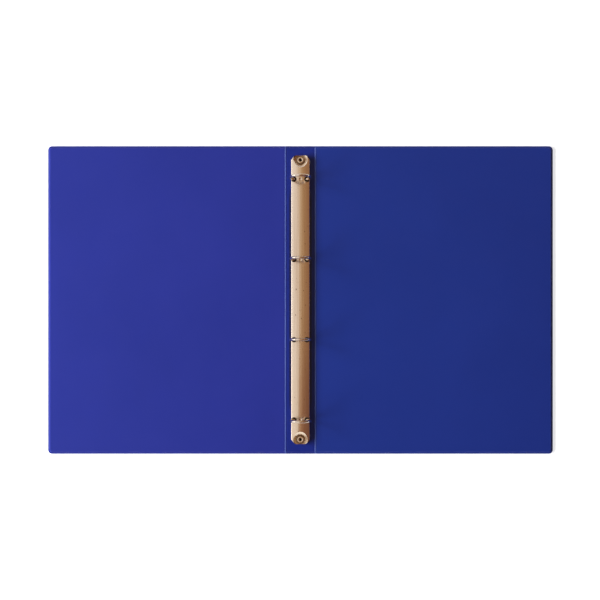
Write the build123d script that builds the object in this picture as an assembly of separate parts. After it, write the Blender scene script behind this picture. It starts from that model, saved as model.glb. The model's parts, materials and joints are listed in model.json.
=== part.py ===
from build123d import *
import math
import os

# A4 ring binder with four rings, lying open with its inside up. All sizes are in millimetres.
# +Z is up, X runs across the two covers and Y runs along the spine.
# The origin is the middle of the spine's underside. The front cover is on the -X side.

# ---- Covers and spine: greyboard panels sealed between two vinyl sheets ----
cover_height = 309.0        # along the spine
cover_reach = 238.5         # hinge seam to the outer edge of a cover
spine_width = 30.0          # hinge seam to hinge seam
board_thick = 2.0
board_corner = 2.0          # corner radius of every board
skin_thick = 0.3
rim_width = 1.3             # flat weld round the outside of each panel
cover_corner = 4.0          # trimmed outer corners of the welded rim
hinge_foot = 0.9            # hinge axis to the foot of the panel's slope
seam_width = 1.0            # welded strip that bends
seam_gap = 0.3              # strip to the edge of the cover's rim

panel_thick = board_thick + 2 * skin_thick
mid_z = panel_thick / 2                             # height of the weld and of the hinge axes
hinge_x = spine_width / 2
slope_rise = mid_z - skin_thick                     # the sheets slope at 45 degrees beside a board
slope_shift = skin_thick * (math.sqrt(2) - 1)       # keeps the sheet's thickness round the bend
board_from_hinge = hinge_foot + slope_rise + slope_shift
board_from_rim = rim_width + slope_rise + slope_shift
board_half_y = cover_height / 2 - board_from_rim

# ---- Rings: round wire in two halves, one half on each hinge blade ----
ring_pitch = 80.0
ring_count = 4
wire_radius = 1.3
ring_radius = 9.8           # to the middle of the wire
bend_radius = 2.5           # reverse bend between leg and ring
leg_inset = 2.35            # pivot to the leg, along the blade
leg_straight = 0.7          # straight wire above the blade
neck_radius = 0.9           # turned-down end of the leg, through the blade
neck_fit = 0.03
foot_lap = 0.5              # riveted foot beyond the neck
foot_height = 0.4
tip_gap = 0.1

# ---- Ring plate: stamped arch, dished down to the spine at both ends ----
plate_overrun = 24.4        # end ring to the end of the plate
plate_width = 19.2
plate_thick = 0.6
plate_lift = 0.5            # long edges above the inner sheet
plate_height = 5.1          # crown above the inner sheet
crown_drop = 2.04           # crown to the long edges, before the shoulders are rounded
shoulder_radius = 1.8
end_flat = 10.6             # straight part of each end, before rounding
end_taper = 5.2             # length over which each end narrows
end_radius = 4.0
lip_reach = 1.35            # inward lip that carries the hinge blades
dish_slope = 1.02           # rise over run of the dish wall
dimple_radius = 1.8
dimple_depth = 0.6
leg_hole_play = 1.4         # round the wire
leg_hole_shift = 0.43       # outboard of the foot, as the wire bends outward
leg_hole_sill = 1.8         # wall left standing above the long edges

# ---- Hinge blades: two spring-steel strips side by side under the plate ----
blade_thick = 1.0
blade_overrun = 8.0         # beyond the end rings
blade_gap = 0.1             # inner edge to the centre plane at its nearest
closed_slope = 5.0          # degrees that a closed blade falls towards the centre
pivot_fit = 0.08            # rounded outer edge to the plate's wall and lip

# ---- Rivets: tubular, one at each end of the ring plate ----
rivet_from_end = 4.4        # end of the plate to the rivet
rivet_radius = 2.0
rivet_bore = 1.3
rivet_rim = 3.4             # edge rolled over the dish floor
rivet_fit = 0.05
rim_clear = 0.4             # rolled edge to the foot of the dish wall
head_radius = 4.2           # domed head, sunk into the underside of the spine
head_clear = 0.05           # crown to the resting plane
head_web = 0.5              # metal between head and bore
dent_depth = 0.9
dent_clear = 0.4            # head to the foot of the dent's wall
dent_flare = 1.4            # dent's wall, from foot to rim

skin_top = panel_thick
rings_span = (ring_count - 1) * ring_pitch
ring_places = [rings_span / 2 - i * ring_pitch for i in range(ring_count)]
plate_length = rings_span + 2 * plate_overrun
plate_edge = skin_top + plate_lift
plate_crown = skin_top + plate_height
crown_radius = ((plate_width / 2) ** 2 + crown_drop ** 2) / (2 * crown_drop)
lip_top = plate_edge + plate_thick
blade_length = rings_span + 2 * blade_overrun
edge_radius = blade_thick / 2
pivot_x = plate_width / 2 - plate_thick - pivot_fit - edge_radius
pivot_z = lip_top + pivot_fit + edge_radius
blade_reach = math.sqrt((pivot_x - blade_gap) ** 2 - edge_radius ** 2)
leg_hole_x = pivot_x - leg_inset + leg_hole_shift
leg_hole_radius = wire_radius + leg_hole_play
leg_hole_floor = plate_edge + leg_hole_sill
foot_radius = neck_radius + foot_lap
rivet_y = plate_length / 2 - rivet_from_end
dish_seat = skin_top + plate_thick
dish_floor_radius = rivet_rim + rim_clear
dent_floor = head_radius + dent_clear


def rounded_sheet(x_lo, x_hi, grow, z):
    """Outline of a board at height z, grown outward on all sides."""
    width = x_hi - x_lo + 2 * grow
    height = 2 * (board_half_y + grow)
    return Pos((x_lo + x_hi) / 2, 0, z) * RectangleRounded(width, height, board_corner + grow)


def slab(x_lo, x_hi, z_lo, z_hi, half_y):
    """Square-cornered plate between two heights."""
    middle = Pos((x_lo + x_hi) / 2, 0, (z_lo + z_hi) / 2)
    return middle * Box(x_hi - x_lo, 2 * half_y, z_hi - z_lo)


def board(x_lo, x_hi):
    """Greyboard panel."""
    return extrude(rounded_sheet(x_lo, x_hi, 0, skin_thick), board_thick)


def lower_skin(x_lo, x_hi, rim):
    """Sheet drawn under a board, sloping up at its edges to the flat welded rim."""
    low = rounded_sheet(x_lo, x_hi, slope_shift, 0)
    high = rounded_sheet(x_lo, x_hi, slope_shift + slope_rise, mid_z - skin_thick)
    hollow_low = rounded_sheet(x_lo, x_hi, 0, skin_thick)
    hollow_high = rounded_sheet(x_lo, x_hi, slope_rise, mid_z)
    tray = rim + loft([low, high], ruled=True)
    return tray - loft([hollow_low, hollow_high], ruled=True)


def upper_skin(lower):
    """The upper sheet mirrors the lower one about the weld."""
    return mirror(lower, about=Plane.XY.offset(mid_z))


def cover_rim():
    """Lower half of the back cover's weld, with its outer corners trimmed round."""
    x_lo = hinge_x + seam_width / 2 + seam_gap
    x_hi = hinge_x + cover_reach
    face = Pos((x_lo + x_hi) / 2, 0, mid_z - skin_thick) * Rectangle(x_hi - x_lo, cover_height)
    corners = face.vertices().group_by(Axis.X)[-1]
    return extrude(fillet(corners, cover_corner), skin_thick)


def at_rivets(shape):
    """A copy of a shape at each rivet."""
    return [Pos(0, side * rivet_y, 0) * shape for side in (1, -1)]


def column(radius, z_lo, z_hi):
    """Upright round bar on the Z axis."""
    return Pos(0, 0, (z_lo + z_hi) / 2) * Cylinder(radius, z_hi - z_lo)


def frustum(radius_lo, radius_hi, z_lo, z_hi):
    """Upright cone segment on the Z axis."""
    return Pos(0, 0, (z_lo + z_hi) / 2) * Cone(radius_lo, radius_hi, z_hi - z_lo)


def rivet_holes():
    """Clearance for both rivet shanks, through spine and plate."""
    return at_rivets(column(rivet_radius + rivet_fit, -1, lip_top))


def dents(extra):
    """Dent under each rivet head, deeper and wider by the given thickness."""
    foot = dent_floor + extra
    return at_rivets(frustum(foot + dent_flare, foot, 0, dent_depth + extra))


def rivet():
    """Domed head, tubular shank and an edge rolled over the dish floor."""
    rise = dent_depth - head_clear
    dome_radius = (head_radius ** 2 + rise ** 2) / (2 * rise)
    dome = Pos(0, 0, head_clear + dome_radius) * Sphere(dome_radius)
    head = dome & column(head_radius, 0, dent_depth)
    shank = column(rivet_radius, dent_depth, dish_seat)
    roll_radius = (rivet_rim - rivet_bore) / 2
    above = dish_seat + roll_radius + 1
    roll = Pos(0, 0, dish_seat) * Torus(rivet_bore + roll_radius, roll_radius)
    roll = roll & column(rivet_rim + 1, dish_seat, above)
    return head + shank + roll - column(rivet_bore, dent_depth + head_web, above)


def arch(shrink, bottom):
    """Solid bar with the plate's arched section, shrunk by a wall thickness."""
    radius = crown_radius - shrink
    top = plate_crown - shrink
    block = Pos(0, (top + bottom) / 2) * Rectangle(plate_width - 2 * shrink, top - bottom)
    section = block & Pos(0, top - radius) * Circle(radius)
    shoulders = section.vertices().group_by(Axis.Y)[-1]
    section = fillet(shoulders, shoulder_radius - shrink)
    return extrude(Plane.XZ * section, plate_length / 2, both=True)


def plate_plan(inset, z_lo, z_hi):
    """Prism with the plate's outline seen from above, inset all round."""
    half_width = plate_width / 2
    half_length = plate_length / 2
    quarter = [(half_width, half_length - end_taper), (end_flat / 2, half_length)]
    upper = quarter + [(-x, y) for x, y in reversed(quarter)]
    lower = [(-x, -y) for x, y in upper]
    face = make_face(Polyline(*upper, *lower, close=True))
    face = fillet(face.vertices(), end_radius)
    face = offset(face, amount=-inset)
    return extrude(Pos(0, 0, z_lo) * face, z_hi - z_lo)


def dishes(extra):
    """Conical dish at each rivet, grown square to its wall by the given thickness."""
    floor = dish_seat - extra
    top = plate_crown + 2
    sideways = extra * math.sqrt(1 + dish_slope ** 2) / dish_slope
    foot = dish_floor_radius + sideways - extra / dish_slope
    return at_rivets(frustum(foot, foot + (top - floor) / dish_slope, floor, top))


def dimples(extra):
    """Shallow round dimple on the crown between the two halves of each ring."""
    radius = (dimple_radius ** 2 + dimple_depth ** 2) / (2 * dimple_depth)
    z = plate_crown - dimple_depth + radius
    return [Pos(0, y, z) * Sphere(radius + extra) for y in ring_places]


def leg_holes():
    """Round holes in the plate for the ring legs."""
    hole = column(leg_hole_radius, leg_hole_floor, plate_crown + 1)
    return [Pos(side * leg_hole_x, y, 0) * hole for y in ring_places for side in (1, -1)]


def ring_plate():
    """The arch with its dished ends, dimples, leg holes and inward lips."""
    ceiling = plate_crown + 1
    body = arch(0, plate_edge) & plate_plan(0, plate_edge, ceiling)
    footing = plate_plan(0, skin_top, lip_top)
    for dish in dishes(plate_thick):
        body = body + (dish & footing)
    hollow = arch(plate_thick, lip_top) & plate_plan(plate_thick, lip_top, ceiling)
    hollow = hollow + plate_plan(lip_reach, plate_edge - 1, lip_top)
    hollow = hollow - dishes(plate_thick) - dimples(plate_thick)
    return body - hollow - dishes(0) - dimples(0) - leg_holes() - rivet_holes()


def on_blade(inboard, above):
    """Point (x, z) on the closed right blade, from its pivot."""
    slope = math.radians(closed_slope)
    x = pivot_x - inboard * math.cos(slope) - above * math.sin(slope)
    z = pivot_z - inboard * math.sin(slope) + above * math.cos(slope)
    return x, z


def leg_plane(y, above):
    """Work plane square to a ring's leg, at a height above the middle of the blade."""
    slope = math.radians(closed_slope)
    x, z = on_blade(leg_inset, above)
    return Plane(origin=(x, y, z), x_dir=(0, 1, 0), z_dir=(-math.sin(slope), 0, math.cos(slope)))


def right_blade():
    """Strip with a rounded pivot edge, holed for the necks of its ring halves."""
    strip = Pos(-blade_reach / 2, 0, 0) * Box(blade_reach, blade_length, blade_thick)
    edge = Rot(X=90) * Cylinder(edge_radius, blade_length)
    blade = Pos(pivot_x, 0, pivot_z) * Rot(Y=-closed_slope) * (strip + edge)
    hole = Cylinder(neck_radius + neck_fit, 3 * blade_thick)
    return blade - [leg_plane(y, 0) * hole for y in ring_places]


def about(centre, radius, angle, y):
    """Point on a circle that stands across the spine."""
    return (centre[0] + radius * math.cos(angle), y, centre[1] + radius * math.sin(angle))


def bend_place():
    """Centre (x, z) of the reverse bend, beside the top of the straight leg."""
    slope = math.radians(closed_slope)
    x, z = on_blade(leg_inset, blade_thick / 2 + leg_straight)
    return x + bend_radius * math.cos(slope), z + bend_radius * math.sin(slope)


def ring_centre():
    """Centre (x, z) of the rings, set by where the reverse bend meets them."""
    x, z = bend_place()
    return 0, z + math.sqrt((ring_radius + bend_radius) ** 2 - x ** 2)


def wire_path(y):
    """Middle line of the right half's wire: leg, reverse bend and half circle past the tip."""
    slope = math.radians(closed_slope)
    centre = ring_centre()
    bend = bend_place()
    turn = math.atan2(bend[1] - centre[1], bend[0] - centre[0])
    past_tip = math.pi / 2 + math.asin(1.25 * wire_radius / ring_radius)
    low_x, low_z = on_blade(leg_inset, blade_thick / 2)
    foot = (low_x, y, low_z)
    knee = about(bend, bend_radius, math.pi + slope, y)
    mid_bend = about(bend, bend_radius, math.pi + (slope + turn) / 2, y)
    meet = about(centre, ring_radius, turn, y)
    side = about(centre, ring_radius, (turn + past_tip) / 2, y)
    end = about(centre, ring_radius, past_tip, y)
    return Curve() + [Line(foot, knee), ThreePointArc(knee, mid_bend, meet), ThreePointArc(meet, side, end)]


def plain_half(y):
    """Right half of a ring before its tip is cut, with its neck and riveted foot."""
    wire = sweep(leg_plane(y, blade_thick / 2) * Circle(wire_radius), path=wire_path(y))
    neck = leg_plane(y, 0) * Cylinder(neck_radius, blade_thick)
    foot = leg_plane(y, -(blade_thick + foot_height) / 2) * Cylinder(foot_radius, foot_height)
    return wire + neck + foot


def beyond_tip(y, side):
    """Block over one side of the slanting split between two tips, and half its gap."""
    size = 20 * wire_radius
    turned = Pos(0, y, ring_centre()[1] + ring_radius) * Rot(Z=-45)
    return turned * Pos(side * (size - tip_gap) / 2, 0, 0) * Box(size, size, 6 * wire_radius)


def right_half(y):
    """Right half of a ring, cut back to the split."""
    return plain_half(y) - beyond_tip(y, -1)


def left_half(y):
    """Left half of a ring, cut back to the split."""
    return mirror(plain_half(y), about=Plane.YZ) - beyond_tip(y, 1)


def build():
    """Every piece of the binder by name."""
    nodes = {}
    board_lo = hinge_x + board_from_hinge
    board_hi = hinge_x + cover_reach - board_from_rim
    cover_board = board(board_lo, board_hi)
    cover_outer = lower_skin(board_lo, board_hi, cover_rim())
    cover_inner = upper_skin(cover_outer)
    for side, shape in (("board", cover_board), ("outer_skin", cover_outer), ("inner_skin", cover_inner)):
        nodes["back_" + side] = shape
        nodes["front_" + side] = mirror(shape, about=Plane.YZ)

    spine_half = hinge_x - board_from_hinge
    rim_half = hinge_x - seam_width / 2
    rim = slab(-rim_half, rim_half, mid_z - skin_thick, mid_z, cover_height / 2)
    spine_outer = lower_skin(-spine_half, spine_half, rim)
    nodes["spine_inner_skin"] = upper_skin(spine_outer) - rivet_holes()
    nodes["spine_outer_skin"] = spine_outer + dents(skin_thick) - dents(0) - rivet_holes()
    nodes["spine_board"] = board(-spine_half, spine_half) - dents(skin_thick) - rivet_holes()

    seam_lo = mid_z - skin_thick
    seam_hi = mid_z + skin_thick
    seam = slab(rim_half, rim_half + seam_width, seam_lo, seam_hi, cover_height / 2)
    nodes["back_hinge_seam"] = seam
    nodes["front_hinge_seam"] = mirror(seam, about=Plane.YZ)

    nodes["ring_plate"] = ring_plate()
    nodes["upper_rivet"], nodes["lower_rivet"] = at_rivets(rivet())
    nodes["right_hinge_blade"] = right_blade()
    nodes["left_hinge_blade"] = mirror(right_blade(), about=Plane.YZ)
    for number, y in enumerate(ring_places, start=1):
        nodes[f"ring_{number}_left"] = left_half(y)
        nodes[f"ring_{number}_right"] = right_half(y)
    return nodes


os.makedirs("parts", exist_ok=True)
for name, shape in build().items():
    export_step(shape, f"parts/{name}.step")
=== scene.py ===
import json
import math

import bpy
import numpy as np
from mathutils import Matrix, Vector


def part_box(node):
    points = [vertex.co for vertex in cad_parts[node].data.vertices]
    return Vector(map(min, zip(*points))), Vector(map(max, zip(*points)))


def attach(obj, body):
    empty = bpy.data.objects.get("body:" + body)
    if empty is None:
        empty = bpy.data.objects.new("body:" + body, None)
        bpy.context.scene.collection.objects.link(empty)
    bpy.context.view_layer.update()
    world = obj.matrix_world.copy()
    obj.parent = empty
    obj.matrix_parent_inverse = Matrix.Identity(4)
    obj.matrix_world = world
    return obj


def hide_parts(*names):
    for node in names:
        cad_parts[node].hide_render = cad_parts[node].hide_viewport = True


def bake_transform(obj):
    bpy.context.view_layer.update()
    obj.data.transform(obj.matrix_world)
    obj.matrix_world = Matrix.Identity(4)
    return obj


# Ring binder lying open, inside up: vinyl sheets welded round greyboards, with a riveted ring
# mechanism on the spine. Metres, +Z up, the spine along Y, the front cover on the -X side.
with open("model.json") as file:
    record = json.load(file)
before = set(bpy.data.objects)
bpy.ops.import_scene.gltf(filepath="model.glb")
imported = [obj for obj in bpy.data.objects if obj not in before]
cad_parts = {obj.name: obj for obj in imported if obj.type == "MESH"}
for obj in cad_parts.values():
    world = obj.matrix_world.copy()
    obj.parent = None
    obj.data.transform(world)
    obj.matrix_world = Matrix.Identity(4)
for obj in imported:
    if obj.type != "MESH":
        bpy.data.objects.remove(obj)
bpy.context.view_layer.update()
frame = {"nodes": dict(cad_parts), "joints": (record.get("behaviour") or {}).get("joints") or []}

# ---------------------------------------------------------------------------------------------
# Cover sheets: soft PVC film, 0.3 mm, one sheet inside and one outside each board, drawn tight
# over it and welded flat together round the edges and along both hinge lines. The weld lies in the
# middle of the thickness, and the film slopes up from it.
# ---------------------------------------------------------------------------------------------
cover_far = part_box("back_outer_skin")[1]
front_joint = next(j for j in frame["joints"] if j["name"] == "front_cover_hinge")
hinge_x = abs(front_joint["pos_m"][0])
middle_z = front_joint["pos_m"][2]
outer_x = cover_far.x
half_y = cover_far.y
film = 0.0003
corner_round = 0.004
# Rim: the flat weld, the slope up from it, and the trimmed edge pressed down by the cutter.
weld_width = 0.0011
weld_slope = 0.0013
trim_drop = 0.00008
trim_width = 0.00025
# Hinge line: half the width of the band that bends, the sag beside the line, the bead and the groove.
hinge_band = 0.0023
hinge_sag = 0.00014
sag_start = 0.0004
sag_run = 0.0015
bead_reach = 0.0006
bead_height = 0.00034
groove_depth = 0.0002
# Free film: a slack ripple all over and a pucker along the rim, in full 9 mm off the hinge band.
free_run = 0.009
slack_depth = 0.00003
pucker_depth = 0.00003
pucker_turn = 520.0
pucker_drift = 3.0
pucker_place = 0.004
pucker_width = 0.003
side_strip = 0.02


def smooth_step(value, start, run):
    """0 before start, 1 after start + run, and the cubic 3t^2 - 2t^3 between."""
    t = np.clip((value - start) / run, 0.0, 1.0)
    return t * t * (3.0 - 2.0 * t)


def rim_distance(x, y):
    """Distance in from the trimmed outline, a rectangle with rounded corners: the corner radius less
    the length of the overshoot past the inner rectangle, less the larger negative overshoot."""
    over_x = np.abs(x) - (outer_x - corner_round)
    over_y = np.abs(y) - (half_y - corner_round)
    past = np.hypot(np.maximum(over_x, 0.0), np.maximum(over_y, 0.0))
    return corner_round - past - np.minimum(np.maximum(over_x, over_y), 0.0)


def ripple(x, y, seed, waves=9, shortest=0.025, longest=0.11):
    """Sum of plane sine waves, each with its own seeded direction, wavelength and phase, divided by
    their number, so that it stays between -1 and 1."""
    rng = np.random.default_rng(seed)
    total = np.zeros_like(x)
    for _ in range(waves):
        turn = rng.uniform(0, 2 * math.pi)
        wave = 2 * math.pi / rng.uniform(shortest, longest)
        phase = rng.uniform(0, 6.28)
        total = total + np.sin(wave * (x * math.cos(turn) + y * math.sin(turn)) + phase)
    return total / waves


def film_rise(x, y, seed, bead):
    """Height of the film's outer face from the weld plane: the film thickness along the rim weld,
    rising by a smooth step of the distance from the rim to half the binder's thickness. Beside each
    hinge line it sags by a smooth step of that distance. On the line stands the upper half of an
    ellipse as high as the bead, which is a groove where the bead is negative.
    A shallow seeded ripple is taken off, and so is a pucker, a sine along the edge under a bell curve
    of the distance from the rim. Both fade to nothing, by a smooth step, towards the hinge bands.
    The trimmed edge itself drops by a narrow bell curve."""
    from_rim = rim_distance(x, y)
    from_hinge = np.abs(np.abs(x) - hinge_x)
    lift = smooth_step(from_rim, weld_width, weld_slope)
    sag = hinge_sag * (1.0 - smooth_step(from_hinge, sag_start, sag_run))
    free = smooth_step(from_hinge, hinge_band, free_run)
    slack = slack_depth * free * (1.0 + ripple(x, y, seed))
    along = np.where(np.abs(x) > outer_x - side_strip, y, x + y)
    phase = along * pucker_turn + pucker_drift * ripple(x, y, seed + 5)
    pucker = pucker_depth * free * (1.0 + np.sin(phase))
    pucker = pucker * np.exp(-((from_rim - pucker_place) / pucker_width) ** 2)
    ridge = bead * np.sqrt(np.maximum(1.0 - (from_hinge / bead_reach) ** 2, 0.0))
    trim = trim_drop * np.exp(-((from_rim / trim_width) ** 2))
    return film + (middle_z - film - sag - slack - pucker + ridge) * lift - trim


def gathered(stops, steps):
    """Positions along a line: each pair of neighbouring stops divided evenly into its own steps."""
    parts = [np.linspace(a, b, n, endpoint=False) for a, b, n in zip(stops, stops[1:], steps)]
    return np.append(np.concatenate(parts), stops[-1])


def shell_mesh(name, top, under, kept=None):
    """Closed shell between two point grids of one size. Every kept cell gives a face on the top grid
    and one turned over on the under grid, and each cell side with no kept neighbour gives a wall."""
    rows, cols = top.shape[:2]
    if kept is None:
        kept = np.ones((rows - 1, cols - 1), bool)
    index = np.arange(rows * cols).reshape(rows, cols)
    a, b, c, d = index[:-1, :-1], index[:-1, 1:], index[1:, 1:], index[1:, :-1]
    upper = np.stack([a, b, c, d], -1)[kept]
    lower = upper[:, ::-1] + rows * cols
    padded = np.pad(kept, 1)
    walls = []
    for near, tail, head in (
        (padded[:-2, 1:-1], a, b),
        (padded[2:, 1:-1], c, d),
        (padded[1:-1, :-2], d, a),
        (padded[1:-1, 2:], b, c),
    ):
        bare = kept & ~near
        t, h = tail[bare], head[bare]
        walls.append(np.stack([h, t, t + rows * cols, h + rows * cols], -1))
    faces = np.concatenate([upper, lower] + walls)
    points = np.concatenate([top.reshape(-1, 3), under.reshape(-1, 3)])
    used = np.zeros(len(points), bool)
    used[faces.ravel()] = True
    place = np.cumsum(used) - 1
    mesh = bpy.data.meshes.new(name)
    mesh.from_pydata(points[used].tolist(), [], place[faces].tolist())
    mesh.update()
    piece = bpy.data.objects.new(name, mesh)
    bpy.context.scene.collection.objects.link(piece)
    return piece


def shade(piece, angle=40):
    """Smooth shading, kept sharp where two faces meet at more than the angle in degrees."""
    mesh = piece.data
    mesh.shade_smooth()
    normals = np.zeros(len(mesh.polygons) * 3)
    mesh.polygons.foreach_get("normal", normals)
    normals = normals.reshape(-1, 3)
    edge_of = np.zeros(len(mesh.loops), int)
    mesh.loops.foreach_get("edge_index", edge_of)
    starts = np.zeros(len(mesh.polygons), int)
    totals = np.zeros(len(mesh.polygons), int)
    mesh.polygons.foreach_get("loop_start", starts)
    mesh.polygons.foreach_get("loop_total", totals)
    face_of = np.repeat(np.arange(len(starts)), totals)
    order = np.argsort(edge_of, kind="stable")
    pair = edge_of[order]
    same = np.nonzero(pair[1:] == pair[:-1])[0]
    one, two = face_of[order[same]], face_of[order[same + 1]]
    bend = np.einsum("ij,ij->i", normals[one], normals[two])
    sharp = np.zeros(len(mesh.edges), bool)
    sharp[pair[same[bend < math.cos(math.radians(angle))]]] = True
    mesh.attributes.new("sharp_edge", "BOOLEAN", "EDGE").data.foreach_set("value", sharp)


def finish_nodes(name):
    """An empty node material and its shader."""
    material = bpy.data.materials.new(name)
    material.use_nodes = True
    tree = material.node_tree
    return material, tree, tree.nodes["Principled BSDF"]


def fine_noise(tree, scale, detail=2.0, roughness=0.5, stretch=(1.0, 1.0, 1.0)):
    """Noise on the piece's own Object coordinates, in metres, stretched along the axes."""
    where = tree.nodes.new("ShaderNodeTexCoord")
    mapping = tree.nodes.new("ShaderNodeMapping")
    mapping.inputs["Scale"].default_value = stretch
    noise = tree.nodes.new("ShaderNodeTexNoise")
    noise.inputs["Scale"].default_value = scale
    noise.inputs["Detail"].default_value = detail
    noise.inputs["Roughness"].default_value = roughness
    tree.links.new(where.outputs["Object"], mapping.inputs["Vector"])
    tree.links.new(mapping.outputs["Vector"], noise.inputs["Vector"])
    return noise.outputs["Fac"]


def ramp(tree, source, stops):
    """Colour ramp from (position, colour) pairs."""
    node = tree.nodes.new("ShaderNodeValToRGB")
    elements = node.color_ramp.elements
    while len(elements) < len(stops):
        elements.new(0.5)
    for element, (position, colour) in zip(elements, stops):
        element.position = position
        element.color = (*colour, 1.0)
    tree.links.new(source, node.inputs["Fac"])
    return node.outputs["Color"]


def level(tree, source, low, high):
    """The source's 0 to 1 taken to low to high."""
    node = tree.nodes.new("ShaderNodeMapRange")
    node.inputs["To Min"].default_value = low
    node.inputs["To Max"].default_value = high
    tree.links.new(source, node.inputs["Value"])
    return node.outputs["Result"]


def press(tree, shader, heights):
    """Bumps laid one over the other, each a (height, depth in metres, strength)."""
    last = None
    for height, depth, strength in heights:
        bump = tree.nodes.new("ShaderNodeBump")
        bump.inputs["Distance"].default_value = depth
        bump.inputs["Strength"].default_value = strength
        tree.links.new(height, bump.inputs["Height"])
        if last:
            tree.links.new(last, bump.inputs["Normal"])
        last = bump.outputs["Normal"]
    tree.links.new(last, shader.inputs["Normal"])


def blue_vinyl(name, deep, bright, gloss):
    """Royal blue calendered PVC: a slow drift of colour, a fine pebbled grain, long soft waves from
    the welding, and a roughness that wanders a little with handling."""
    material, tree, shader = finish_nodes(name)
    drift = fine_noise(tree, scale=9.0, detail=3.0)
    tree.links.new(ramp(tree, drift, [(0.3, deep), (0.7, bright)]), shader.inputs["Base Color"])
    handling = fine_noise(tree, scale=60.0, detail=4.0)
    tree.links.new(level(tree, handling, gloss - 0.06, gloss + 0.06), shader.inputs["Roughness"])
    grain = fine_noise(tree, scale=2600.0)
    waves = fine_noise(tree, scale=26.0)
    press(tree, shader, [(waves, 0.0006, 0.06), (grain, 0.00004, 0.35)])
    shader.inputs["IOR"].default_value = 1.46
    return material


# Painted light and shade: the front film is a lighter, more violet copy of one blue, the back a deeper one.
front_vinyl_lit_copy = blue_vinyl(
    "blue_vinyl_front", deep=(0.0185, 0.0315, 0.298), bright=(0.0225, 0.0355, 0.330), gloss=0.44)
back_vinyl_shaded_copy = blue_vinyl(
    "blue_vinyl_back", deep=(0.0112, 0.034, 0.272), bright=(0.0132, 0.038, 0.296), gloss=0.44)
outside_vinyl = blue_vinyl(
    "blue_vinyl_outside", deep=(0.009, 0.021, 0.265), bright=(0.012, 0.026, 0.30), gloss=0.38)

# Rows and columns crowd together over the weld and its slope, in from the trimmed edge, and a
# cover's first columns take the 10 mm beside its hinge band.
edge_stops = [0.0, 0.00005, 0.0003, weld_width, 0.0024, 0.007, 0.012]
edge_steps = [1, 2, 5, 12, 7, 2]
rows_y = gathered([e - half_y for e in edge_stops] + [half_y - e for e in edge_stops[::-1]],
                  edge_steps + [56] + edge_steps[::-1])
cover_inner_x = hinge_x + hinge_band
beside_band = 0.01


def cover_columns(y):
    """x of each column in a row: the same shares in every row of the width between the hinge band and
    the outline. At a corner the outline comes in by the corner radius less the root of the radius
    squared less the square of how far the row is into the corner."""
    into_corner = np.maximum(corner_round - (half_y - np.abs(y)), 0)
    inset = corner_round - np.sqrt(np.maximum(corner_round ** 2 - into_corner ** 2, 0))
    stops = [0.0, beside_band] + [outer_x - cover_inner_x - e for e in edge_stops[::-1]]
    share = gathered(stops, [4, 44] + edge_steps[::-1]) / (outer_x - cover_inner_x)
    return cover_inner_x + share[None, :] * (outer_x - inset - cover_inner_x)[:, None]


def sheet_pair(x, y, seed, upper):
    """Top and under point grids of a sheet lying above the weld plane. The under face follows the
    top one a film thickness below, and lies on the weld plane where the film is welded."""
    rise = film_rise(x, y, seed, bead_height if upper else -groove_depth)
    hollow = np.maximum(rise - film, 0.0)
    return np.stack([x, y, middle_z + rise], -1), np.stack([x, y, middle_z + hollow], -1)


def lay_sheet(name, x, y, side, upper, seed, material, node, slot):
    """Makes one sheet: side mirrors it to the front cover, and upper says inside or outside."""
    top, under = sheet_pair(x, y, seed, upper)
    flip = np.array([side, 1.0, 1.0])
    top, under = top * flip, under * flip
    if not upper:
        top[..., 2] = 2 * middle_z - top[..., 2]
        under[..., 2] = 2 * middle_z - under[..., 2]
    if (side < 0) != (not upper):
        top, under = top[:, ::-1], under[:, ::-1]
    piece = shell_mesh(name, top, under)
    shade(piece)
    piece.data.materials.append(material)
    if node:
        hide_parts(node)
    return piece


grid_x = cover_columns(rows_y)
grid_y = np.repeat(rows_y[:, None], grid_x.shape[1], 1)
for cover, side, inner_seed, outer_seed, inside_vinyl in (
    ("front", -1.0, 20, 30, front_vinyl_lit_copy),
    ("back", 1.0, 21, 31, back_vinyl_shaded_copy),
):
    inner = lay_sheet(f"{cover}_inner_sheet", grid_x, grid_y, side, True, inner_seed,
                      inside_vinyl, f"{cover}_inner_skin", "vinyl_inside")
    outer = lay_sheet(f"{cover}_outer_sheet", grid_x, grid_y, side, False, outer_seed,
                      outside_vinyl, f"{cover}_outer_skin", "vinyl_outside")
    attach(inner, f"{cover}_cover")
    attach(outer, f"{cover}_cover")

# ---------------------------------------------------------------------------------------------
# Spine sheets: the same film over the narrow spine board. The inner one, a deeper copy of the blue
# that is painted shade, lies flat under the ring plate, with a line of painted shadow beside its edges.
# The outer one is pulled up into a round dent under each rivet head.
# ---------------------------------------------------------------------------------------------
rivet_y = (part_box("upper_rivet")[0].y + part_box("upper_rivet")[1].y) / 2
dent_depth = 0.0009
dent_floor = 0.0046
dent_wall = 0.0014
rivet_hole = 0.00206
spine_edge = hinge_x - hinge_band
# Rows and columns crowd together in a block over each dent.
dent_side = 0.0062
dent_end = 0.0064
spine_x = gathered([-spine_edge, -dent_side, dent_side, spine_edge], [10, 40, 10])
spine_rows = gathered(
    [e - half_y for e in edge_stops[:-1]]
    + [-rivet_y - dent_end, -rivet_y + dent_end, rivet_y - dent_end, rivet_y + dent_end]
    + [half_y - e for e in edge_stops[-2::-1]],
    edge_steps[:-1] + [2, 40, 60, 40, 2] + edge_steps[-2::-1],
)
spine_grid = np.meshgrid(spine_x, spine_rows)


def rivet_dent(x, y):
    """Depth of the dent: full under the head, and a smooth step back to nothing round it."""
    from_rivet = np.hypot(x, np.abs(y) - rivet_y)
    return dent_depth * (1.0 - smooth_step(from_rivet, dent_floor, dent_wall))


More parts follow.
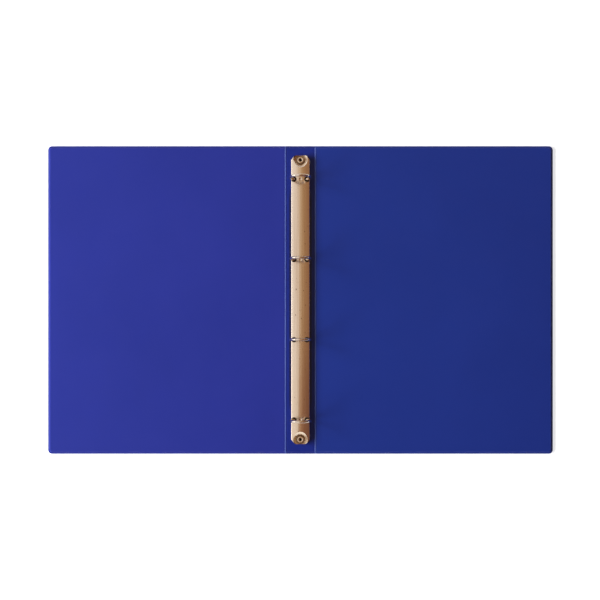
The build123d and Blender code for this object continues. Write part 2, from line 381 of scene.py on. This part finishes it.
def spine_sheet(name, upper, seed, material, node):
    """One sheet of the spine, punched for the two rivets, with the dents in the outer one."""
    x, y = spine_grid
    top, under = sheet_pair(x, y, seed, upper)
    if not upper:
        lift = rivet_dent(x, y)[..., None] * np.array([0.0, 0.0, 1.0])
        top = (top * [1, 1, -1] + [0, 0, 2 * middle_z] + lift)[:, ::-1]
        under = (under * [1, 1, -1] + [0, 0, 2 * middle_z] + lift)[:, ::-1]
    clear = np.hypot(top[..., 0], np.abs(top[..., 1]) - rivet_y) > rivet_hole
    kept = clear[:-1, :-1] & clear[:-1, 1:] & clear[1:, :-1] & clear[1:, 1:]
    piece = shell_mesh(name, top, under, kept)
    shade(piece)
    piece.data.materials.append(material)
    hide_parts(node)
    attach(piece, "spine")


def figure(tree, kind, *terms):
    """One arithmetic node over its terms, each a socket or a number."""
    node = tree.nodes.new("ShaderNodeMath")
    node.operation = kind
    for entry, term in zip(node.inputs, terms):
        if isinstance(term, (int, float)):
            entry.default_value = term
        else:
            tree.links.new(term, entry)
    return node.outputs[0]


def own_axes(tree):
    """The piece's own Object coordinates, in metres, as sockets X, Y and Z."""
    where = tree.nodes.new("ShaderNodeTexCoord")
    split = tree.nodes.new("ShaderNodeSeparateXYZ")
    tree.links.new(where.outputs["Object"], split.inputs["Vector"])
    return split.outputs


def around(tree, distance, radius, reach, strength):
    """Strength where the distance is the radius, falling in a straight line to nothing at reach from
    it on either side: the strength less the distance off the radius times strength over reach."""
    off = figure(tree, "ABSOLUTE", figure(tree, "SUBTRACT", distance, radius))
    lost = figure(tree, "MULTIPLY", off, strength / reach)
    return figure(tree, "MAXIMUM", figure(tree, "SUBTRACT", strength, lost), 0.0)


def fade(tree, source, least_at, full_at, least=0.0):
    """Smooth step of the source, from the least at one value of it to 1 at the other."""
    node = tree.nodes.new("ShaderNodeMapRange")
    node.interpolation_type = "SMOOTHSTEP"
    node.inputs["From Min"].default_value = least_at
    node.inputs["From Max"].default_value = full_at
    node.inputs["To Min"].default_value = least
    tree.links.new(source, node.inputs["Value"])
    return node.outputs["Result"]


def mixed(tree, factor, under, over):
    """The under colour at factor 0 and the over colour at 1, each a socket or red, green and blue."""
    mix = tree.nodes.new("ShaderNodeMix")
    mix.data_type = "RGBA"
    tree.links.new(factor, mix.inputs["Factor"])
    for entry, colour in ((mix.inputs["A"], under), (mix.inputs["B"], over)):
        if isinstance(colour, tuple):
            entry.default_value = (*colour, 1.0)
        else:
            tree.links.new(colour, entry)
    return mix.outputs["Result"]


def paint_shade(tree, factor, colour):
    """Lays a painted shade colour over the finish by the factor."""
    base = tree.nodes["Principled BSDF"].inputs["Base Color"]
    tree.links.new(mixed(tree, factor, base.links[0].from_socket, colour), base)


# The painted shadow is a dark line just outside each edge of the plate, which fades short of its ends.
plate_shadow_x = 0.0103
plate_shadow_reach = 0.0013
plate_shadow_strength = 1.15
plate_shadow_most = 0.9
plate_shadow_gone_y = 0.116
plate_shadow_full_y = 0.098
# The spine film is a deeper copy of the cover blue: painted shade for the darker spine.
spine_vinyl_shaded_copy = blue_vinyl(
    "blue_vinyl_spine", deep=(0.007, 0.020, 0.225), bright=(0.009, 0.024, 0.25), gloss=0.46)
tree = spine_vinyl_shaded_copy.node_tree
axes = own_axes(tree)
beside_plate = around(
    tree, figure(tree, "ABSOLUTE", axes["X"]), plate_shadow_x, plate_shadow_reach, plate_shadow_strength)
short_of_ends = fade(tree, figure(tree, "ABSOLUTE", axes["Y"]), plate_shadow_gone_y, plate_shadow_full_y)
plate_shadow_mask = figure(tree, "MULTIPLY", figure(tree, "MINIMUM", beside_plate, plate_shadow_most), short_of_ends)
# Painted shadow: the spine film is darkened in a line beside each edge of the plate.
paint_shade(tree, plate_shadow_mask, (0.004, 0.005, 0.014))
spine_sheet("spine_inner_sheet", True, 40, spine_vinyl_shaded_copy, "spine_inner_skin")
spine_sheet("spine_outer_sheet", False, 41, outside_vinyl, "spine_outer_skin")

# ---------------------------------------------------------------------------------------------
# Hinge bands: the stretch of film beside each weld line where spine and cover meet. It has no
# board in it, so on the real binder it bends as the cover turns; here it is laid flat.
# ---------------------------------------------------------------------------------------------
# The bead's film is a much lighter copy of the blue: a painted highlight along each weld line.
weld_bead_highlight_vinyl = blue_vinyl(
    "weld_bead_vinyl", deep=(0.075, 0.12, 0.44), bright=(0.10, 0.15, 0.49), gloss=0.24)
sag_side = 0.002
band_x = gathered([hinge_x - hinge_band, hinge_x - sag_side, hinge_x - bead_reach,
                   hinge_x + bead_reach, hinge_x + sag_side, hinge_x + hinge_band], [1, 8, 16, 8, 1])
band_rows = gathered([e - half_y for e in edge_stops] + [half_y - e for e in edge_stops[::-1]],
                     edge_steps + [70] + edge_steps[::-1])
band_grid = np.meshgrid(band_x, band_rows)
for cover, side, inside_vinyl in (("front", -1.0, front_vinyl_lit_copy), ("back", 1.0, back_vinyl_shaded_copy)):
    for face, upper, material, node in (
        ("inner", True, inside_vinyl, f"{cover}_hinge_seam"),
        ("outer", False, outside_vinyl, None),
    ):
        band = lay_sheet(f"{cover}_hinge_{face}_band", *band_grid, side, upper, 50, material, node,
                         "vinyl_inside" if upper else "vinyl_outside")
        if upper:
            band.data.materials.append(spine_vinyl_shaded_copy)
            band.data.materials.append(weld_bead_highlight_vinyl)
            middles = np.zeros(len(band.data.polygons) * 3)
            band.data.polygons.foreach_get("center", middles)
            off_line = np.abs(middles[::3]) - hinge_x
            # Bead faces take the painted highlight, and faces on the spine side the spine's painted shade
            # copy.
            on_cover, on_spine, on_bead_highlight = 0, 1, 2
            beside = np.where(off_line < 0, on_spine, on_cover)
            part = np.where(np.abs(off_line) < bead_reach, on_bead_highlight, beside)
            band.data.polygons.foreach_set("material_index", part.astype(np.int32))
        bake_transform(band)

# ---------------------------------------------------------------------------------------------
# Boards: grey pulp board, 2 mm, cut to size. They are sealed inside and show only if the binder
# is taken apart: flecked grey-brown with a fibrous face.
# ---------------------------------------------------------------------------------------------
greyboard, tree, shader = finish_nodes("greyboard")
flecks = fine_noise(tree, scale=900.0, detail=6.0, roughness=0.7)
pulp = ramp(tree, flecks, [(0.35, (0.20, 0.185, 0.165)), (0.65, (0.36, 0.34, 0.31))])
tree.links.new(pulp, shader.inputs["Base Color"])
wear = fine_noise(tree, scale=200.0, detail=3.0)
tree.links.new(level(tree, wear, 0.85, 0.95), shader.inputs["Roughness"])
fibres = fine_noise(tree, scale=1500.0, detail=5.0, stretch=(1.0, 0.2, 1.0))
press(tree, shader, [(fibres, 0.0001, 0.4)])


def refinish(node, material):
    """Gives a carried-over node its finish, in the material slots that it has."""
    for slot in frame["nodes"][node].material_slots:
        slot.material = material


for node in ("front_board", "back_board", "spine_board"):
    refinish(node, greyboard)

# ---------------------------------------------------------------------------------------------
# Ring plate: sheet steel stamped to a low arch, nickel plated. Its ends are drawn down in dishes
# to the spine. The plating is warm and satin, with faint lengthwise rolling lines and a few specks,
# and the corners round each rivet are darkened with painted shade.
# ---------------------------------------------------------------------------------------------


def nickel(name, clean, dull, gloss, stretch, specks=False):
    """Nickel plate or steel: colour between clean and slightly tarnished in streaks, the smaller the
    stretch the longer they are along the spine. The streaks show in roughness and bump too, over a
    broad shallow unevenness, and there may be sparse dark specks."""
    material, tree, shader = finish_nodes(name)
    streaks = fine_noise(tree, scale=420.0, detail=3.0, roughness=0.6, stretch=(1.0, stretch, 1.0))
    tint = ramp(tree, streaks, [(0.25, dull), (0.6, clean)])
    if specks:
        spot = fine_noise(tree, scale=620.0, detail=0.0)
        mask = ramp(tree, spot, [(0.825, (0.0, 0.0, 0.0)), (0.85, (1.0, 1.0, 1.0))])
        tint = mixed(tree, mask, tint, (0.16, 0.10, 0.06))
    tree.links.new(tint, shader.inputs["Base Color"])
    tree.links.new(level(tree, streaks, gloss - 0.05, gloss + 0.07), shader.inputs["Roughness"])
    shader.inputs["Metallic"].default_value = 1.0
    unevenness = fine_noise(tree, scale=90.0)
    press(tree, shader, [(streaks, 0.00002, 0.25), (unevenness, 0.0002, 0.1)])
    return material


def off_rivet(tree, axes):
    """Distance from the nearer rivet's axis: the root of x squared plus the square of the distance
    along the spine from the rivet."""
    along = figure(tree, "SUBTRACT", figure(tree, "ABSOLUTE", axes["Y"]), rivet_y)
    x_squared = figure(tree, "POWER", axes["X"], 2.0)
    along_squared = figure(tree, "POWER", along, 2.0)
    return figure(tree, "SQRT", figure(tree, "ADD", x_squared, along_squared))


dish_wall_foot = 0.0048
rivet_rim = 0.0036
plate_nickel = nickel("satin_nickel", clean=(0.80, 0.69, 0.56), dull=(0.72, 0.59, 0.45),
                      gloss=0.20, stretch=0.03, specks=True)
tree = plate_nickel.node_tree
from_axis = off_rivet(tree, own_axes(tree))
# Painted shade: dark rings at the foot of the dish wall and round the rivet's rim.
dish_corner = around(tree, from_axis, dish_wall_foot, reach=0.0004, strength=0.55)
rim_corner = around(tree, from_axis, rivet_rim, reach=0.0003, strength=0.9)
paint_shade(tree, figure(tree, "MAXIMUM", dish_corner, rim_corner), (0.07, 0.03, 0.015))
refinish("ring_plate", plate_nickel)

# ---------------------------------------------------------------------------------------------
# Hinge blades: two strips of spring steel, snapped in under the plate side by side, coloured
# near-black as painted shade for the dark under the plate. Each rocks on its outer edge in the
# plate's folded rim and carries one half of every ring.
# ---------------------------------------------------------------------------------------------
# Painted shade: the blades' near-black colour stands for the shade under the plate.
blade_steel_painted_shade = nickel("spring_steel", clean=(0.10, 0.08, 0.065), dull=(0.05, 0.04, 0.03),
                     gloss=0.42, stretch=0.05)
refinish("left_hinge_blade", blade_steel_painted_shade)
refinish("right_hinge_blade", blade_steel_painted_shade)

# ---------------------------------------------------------------------------------------------
# Rings: 2.6 mm steel wire bent to shape, bright nickel, riveted into the blades. The two tips
# meet on a slant.
# ---------------------------------------------------------------------------------------------
ring_nickel = nickel("bright_nickel", clean=(0.80, 0.70, 0.59), dull=(0.70, 0.59, 0.47),
                     gloss=0.12, stretch=1.0)
for number in range(1, 5):
    refinish(f"ring_{number}_left", ring_nickel)
    refinish(f"ring_{number}_right", ring_nickel)

# ---------------------------------------------------------------------------------------------
# Rivets: tubular steel, nickel plated, domed under the spine and rolled over on the dish floor.
# The open bore and a ring under the rolled rim are darkened with painted shade.
# ---------------------------------------------------------------------------------------------
bore_radius = 0.00133
bore_floor = 0.0011
rolled_rim = 0.0034
rivet_nickel = nickel("rivet_nickel", clean=(0.80, 0.70, 0.58), dull=(0.66, 0.54, 0.42),
                      gloss=0.24, stretch=1.0)
tree = rivet_nickel.node_tree
axes = own_axes(tree)
from_axis = off_rivet(tree, axes)
# Painted shade: the inside of the bore and a ring under the rolled rim are darkened.
in_bore = figure(tree, "MULTIPLY", figure(tree, "LESS_THAN", from_axis, bore_radius),
                 figure(tree, "GREATER_THAN", axes["Z"], bore_floor))
under_rim = around(tree, from_axis, rolled_rim, reach=0.0005, strength=0.75)
paint_shade(tree, figure(tree, "MAXIMUM", in_bore, under_rim), (0.035, 0.022, 0.014))
refinish("upper_rivet", rivet_nickel)
refinish("lower_rivet", rivet_nickel)

# ---------------------------------------------------------------------------------------------
# Studio: a plain pale floor, one broad soft window light from the left, and surroundings that are
# bright on the left and dim and warm on the right. The camera looks straight down.
# ---------------------------------------------------------------------------------------------
floor_reach = 4
floor_z = -0.0002
floor_mesh = bpy.data.meshes.new("floor")
floor_corners = [(x * floor_reach, y * floor_reach, floor_z) for x, y in ((-1, -1), (1, -1), (1, 1), (-1, 1))]
floor_mesh.from_pydata(floor_corners, [], [(0, 1, 2, 3)])
floor = bpy.data.objects.new("floor", floor_mesh)
bpy.context.scene.collection.objects.link(floor)
paper, tree, shader = finish_nodes("pale_floor")
shades = ramp(tree, fine_noise(tree, scale=3.0), [(0.0, (0.86, 0.86, 0.86)), (1.0, (0.9, 0.9, 0.9))])
tree.links.new(shades, shader.inputs["Base Color"])
shader.inputs["Roughness"].default_value = 0.8
shader.inputs["Emission Color"].default_value = (1.0, 1.0, 1.0, 1.0)
shader.inputs["Emission Strength"].default_value = 0.7
floor_mesh.materials.append(paper)


def softbox(name, place, target, width, height, power, colour):
    """Rectangular area light aimed at a point and left out of reflections, which show the walls."""
    light = bpy.data.lights.new(name, "AREA")
    light.shape = "RECTANGLE"
    light.size = width
    light.size_y = height
    light.energy = power
    light.color = colour
    lamp = bpy.data.objects.new(name, light)
    lamp.location = place
    aim = np.array(target) - np.array(place)
    away = aim / np.linalg.norm(aim)
    lamp.rotation_euler = (math.acos(-away[2]), 0.0, math.atan2(away[1], away[0]) - math.pi / 2)
    lamp.visible_glossy = False
    lamp.visible_camera = False
    bpy.context.scene.collection.objects.link(lamp)


softbox("left_window", place=(-2.6, -0.3, 1.13), target=(0, 0, 0), width=3.0, height=0.82,
        power=185.0, colour=(1.0, 0.98, 0.96))

# The surroundings are white to the camera, an even low grey as light on dull faces, and walls in
# reflections: their colour runs from left to right, and is another one towards the near side. They
# are dimmer low down, but less so on the far left, where the window reaches lower.
room_grey = (0.065, 0.065, 0.065)
white = (1.0, 1.0, 1.0)
room = bpy.data.worlds.new("room")
room.use_nodes = True
tree = room.node_tree
direction = tree.nodes.new("ShaderNodeTexCoord")
split = tree.nodes.new("ShaderNodeSeparateXYZ")
tree.links.new(direction.outputs["Generated"], split.inputs["Vector"])
across = tree.nodes.new("ShaderNodeMapRange")
across.inputs["From Min"].default_value = -1.0
tree.links.new(split.outputs["X"], across.inputs["Value"])
walls = ramp(tree, across.outputs["Result"], [
    (0.0, (5.0, 4.9, 4.8)), (0.05, (3.6, 3.5, 3.4)), (0.095, (1.0, 0.95, 0.95)), (0.345, (0.86, 0.76, 0.71)),
    (0.5, (0.63, 0.46, 0.30)), (0.655, (0.44, 0.26, 0.14)), (1.0, (0.26, 0.12, 0.08)),
])
near_walls = ramp(tree, across.outputs["Result"], [
    (0.0, (5.0, 4.9, 4.8)), (0.05, (3.6, 3.5, 3.4)), (0.095, (1.02, 0.96, 0.95)), (0.36, (0.90, 0.80, 0.73)),
    (0.405, (0.82, 0.71, 0.63)), (0.425, (0.38, 0.20, 0.11)), (0.5, (0.44, 0.245, 0.14)),
    (0.56, (0.33, 0.155, 0.09)), (0.655, (0.24, 0.105, 0.065)), (1.0, (0.15, 0.07, 0.06)),
])
nearness = fade(tree, split.outputs["Y"], least_at=0.0, full_at=-0.07)
upward = fade(tree, split.outputs["Z"], least_at=0.1, full_at=0.62, least=0.2)
pane = fade(tree, split.outputs["X"], least_at=-0.78, full_at=-0.9)
sill = fade(tree, split.outputs["Z"], least_at=0.1, full_at=0.42)
glow = figure(tree, "MAXIMUM", upward, figure(tree, "MULTIPLY", pane, sill))
dimmed = tree.nodes.new("ShaderNodeVectorMath")
dimmed.operation = "SCALE"
tree.links.new(mixed(tree, nearness, walls, near_walls), dimmed.inputs["Vector"])
tree.links.new(glow, dimmed.inputs["Scale"])
ray = tree.nodes.new("ShaderNodeLightPath").outputs
surroundings = mixed(tree, ray["Is Glossy Ray"], room_grey, dimmed.outputs["Vector"])
backdrop = mixed(tree, ray["Is Camera Ray"], surroundings, white)
tree.links.new(backdrop, tree.nodes["Background"].inputs["Color"])
bpy.context.scene.world = room
bpy.context.scene.view_settings.view_transform = "Standard"

camera_x = -0.00045
camera_y = -0.04525
camera_height = 0.70
lens = bpy.data.cameras.new("camera")
lens.sensor_width = 36.0
lens.lens = 41.87
lens.shift_y = 0.075
lens.clip_start = 0.01
camera = bpy.data.objects.new("camera", lens)
camera.location = (camera_x, camera_y, camera_height + 2 * middle_z)
bpy.context.scene.collection.objects.link(camera)
bpy.context.scene.camera = camera
